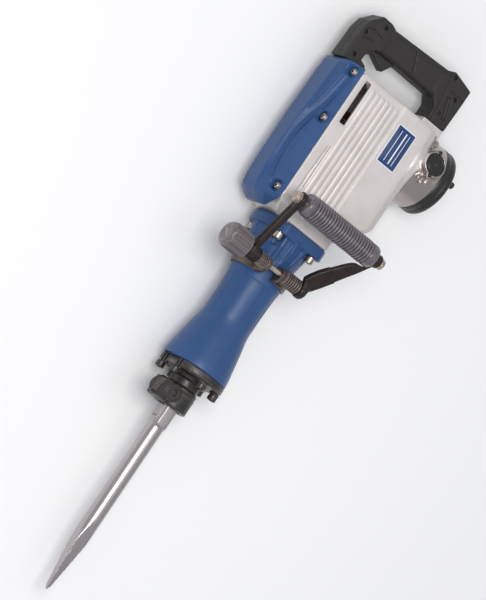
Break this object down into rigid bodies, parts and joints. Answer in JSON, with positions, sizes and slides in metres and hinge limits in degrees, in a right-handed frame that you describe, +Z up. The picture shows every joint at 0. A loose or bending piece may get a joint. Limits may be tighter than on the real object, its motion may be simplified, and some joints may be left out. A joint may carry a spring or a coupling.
{
  "type": "electric demolition hammer",
  "caption": "Electric demolition hammer with pointed hexagon-shank chisel, D-handle with trigger, clamped side handle, crank-driven impact mechanism and transverse motor.",
  "frame": {"origin": "bottom centre of the bounding box, on the plane the tool lies on", "axes": "the tool lies on its side: +X along the hammer axis towards the chisel point, +Y towards the motor tail, +Z up, away from the side it rests on"},
  "size_m": [0.993, 0.287, 0.1753],
  "materials": {
    "blue_paint": "semi-gloss powder coat",
    "silver_casting": "sand-cast, silver lacquered",
    "black_casting": "black oxide, satin",
    "black_steel": "black oxide",
    "zinc_steel": "zinc plated",
    "grey_plastic": "fine moulded texture",
    "black_plastic": "satin moulded",
    "grip_rubber": "soft vinyl, slight sheen",
    "black_rubber": "matte",
    "dark_steel": "dark zinc, scratched",
    "chisel_steel": "ground and forged",
    "machined_steel": "machined, oiled",
    "winding_copper": "varnished windings on laminated steel",
    "carbon": "pressed carbon",
    "blue_label": "plain printed plate, white border"
  },
  "bodies": {
    "body": {"armature_bearing_front": "machined_steel", "armature_bearing_rear": "machined_steel", "badge_plate": "blue_label", "brush_cap_left": "black_plastic", "brush_cap_right": "black_plastic", "carbon_brush_left": "carbon", "carbon_brush_right": "carbon", "cord_gland": "black_rubber", "crank_bearing": "machined_steel", "cylinder_case": "blue_paint", "cylinder_case_bolt_1": "zinc_steel", "cylinder_case_bolt_2": "zinc_steel", "cylinder_case_bolt_3": "zinc_steel", "cylinder_case_bolt_4": "zinc_steel", "cylinder_liner": "machined_steel", "front_cover": "black_casting", "front_cover_bolt_1": "black_steel", "front_cover_bolt_2": "black_steel", "front_cover_bolt_3": "black_steel", "front_cover_bolt_4": "black_steel", "front_cover_bolt_5": "black_steel", "front_cover_bolt_6": "black_steel", "gear_cover": "blue_paint", "gear_cover_bolt_1": "zinc_steel", "gear_cover_bolt_2": "zinc_steel", "gear_cover_bolt_3": "zinc_steel", "gear_cover_bolt_4": "zinc_steel", "gear_cover_bolt_5": "zinc_steel", "gear_cover_bolt_6": "zinc_steel", "handle_shell_left": "grey_plastic", "handle_shell_right": "grey_plastic", "motor_housing": "silver_casting", "ram_guide": "machined_steel", "rubber_damper": "black_rubber", "stator": "machined_steel", "switch_body": "black_plastic", "tail_cover": "black_plastic", "tail_cover_screw": "black_steel"},
    "side_clamp": {"clamp_band": "dark_steel"},
    "side_handle": {"serrated_collar_left": "dark_steel", "serrated_collar_right": "dark_steel", "side_arm_left": "dark_steel", "side_arm_right": "dark_steel", "side_grip": "grip_rubber", "grip_rod": "zinc_steel"},
    "clamp_screw": {"clamp_knob": "grey_plastic", "clamp_bolt": "zinc_steel"},
    "retainer": {"retainer_lever": "black_casting"},
    "chisel": {"chisel": "chisel_steel"},
    "trigger": {"trigger": "black_plastic"},
    "lock_button": {"lock_button": "black_plastic"},
    "armature": {"armature": "winding_copper", "cooling_fan": "black_plastic"},
    "layshaft": {"intermediate_gear": "machined_steel"},
    "crank": {"crankshaft": "machined_steel", "crank_gear": "machined_steel"},
    "rod": {"connecting_rod": "machined_steel"},
    "piston": {"piston": "machined_steel"},
    "striker": {"striker": "machined_steel"},
    "ram": {"ram": "machined_steel"}
  },
  "joints": [
    {"name": "side_handle_swivel", "type": "hinge", "parent": "body", "child": "side_clamp", "pos_m": [-0.0765, -0.0265, 0.0545], "axis": [1, 0, 0], "range_deg": [-12, 12]},
    {"name": "side_handle_tilt", "type": "hinge", "parent": "side_clamp", "child": "side_handle", "pos_m": [-0.0785, -0.0265, 0.1145], "axis": [0, 1, 0], "range_deg": [0, 110]},
    {"name": "clamp_screw_turn", "type": "hinge", "parent": "side_clamp", "child": "clamp_screw", "pos_m": [-0.0785, -0.0265, 0.1145], "axis": [0, 1, 0], "continuous": true},
    {"name": "retainer_turn", "type": "hinge", "parent": "body", "child": "retainer", "pos_m": [0.1551, -0.0505, 0.0545], "axis": [0, 0, 1], "range_deg": [0, 180]},
    {"name": "chisel_slide", "type": "slide", "parent": "body", "child": "chisel", "axis": [-1, 0, 0], "range_m": [0, 0.028]},
    {"name": "trigger_squeeze", "type": "hinge", "parent": "body", "child": "trigger", "pos_m": [-0.4405, -0.0865, 0.0545], "axis": [0, 0, 1], "range_deg": [0, 10], "stiffness_Nm_per_rad": 0.4, "springref_deg": -14.32},
    {"name": "lock_button_press", "type": "slide", "parent": "body", "child": "lock_button", "axis": [0, 0, 1], "range_m": [0, 0.003], "stiffness_N_per_m": 400, "springref_m": -0.002},
    {"name": "armature_spin", "type": "hinge", "parent": "body", "child": "armature", "pos_m": [-0.3405, -0.0265, 0.0545], "axis": [0, 1, 0], "continuous": true},
    {"name": "layshaft_spin", "type": "hinge", "parent": "body", "child": "layshaft", "pos_m": [-0.3, -0.0265, 0.0545], "axis": [0, 1, 0], "continuous": true},
    {"name": "crank_spin", "type": "hinge", "parent": "body", "child": "crank", "pos_m": [-0.246, -0.0265, 0.0545], "axis": [0, 1, 0], "continuous": true},
    {"name": "rod_swing", "type": "hinge", "parent": "crank", "child": "rod", "pos_m": [-0.26, -0.0265, 0.0545], "axis": [0, 1, 0], "continuous": true},
    {"name": "piston_stroke", "type": "slide", "parent": "body", "child": "piston", "axis": [1, 0, 0], "range_m": [0, 0.028]},
    {"name": "striker_slide", "type": "slide", "parent": "body", "child": "striker", "axis": [-1, 0, 0], "range_m": [0, 0.015]},
    {"name": "ram_slide", "type": "slide", "parent": "body", "child": "ram", "axis": [-1, 0, 0], "range_m": [0, 0.008]}
  ],
  "couplings": [
    {"joint": "layshaft_spin", "follows": "armature_spin", "ratio": -0.28571},
    {"joint": "crank_spin", "follows": "armature_spin", "ratio": 0.086957},
    {"joint": "rod_swing", "follows": "armature_spin", "ratio": -0.086957}
  ]
}
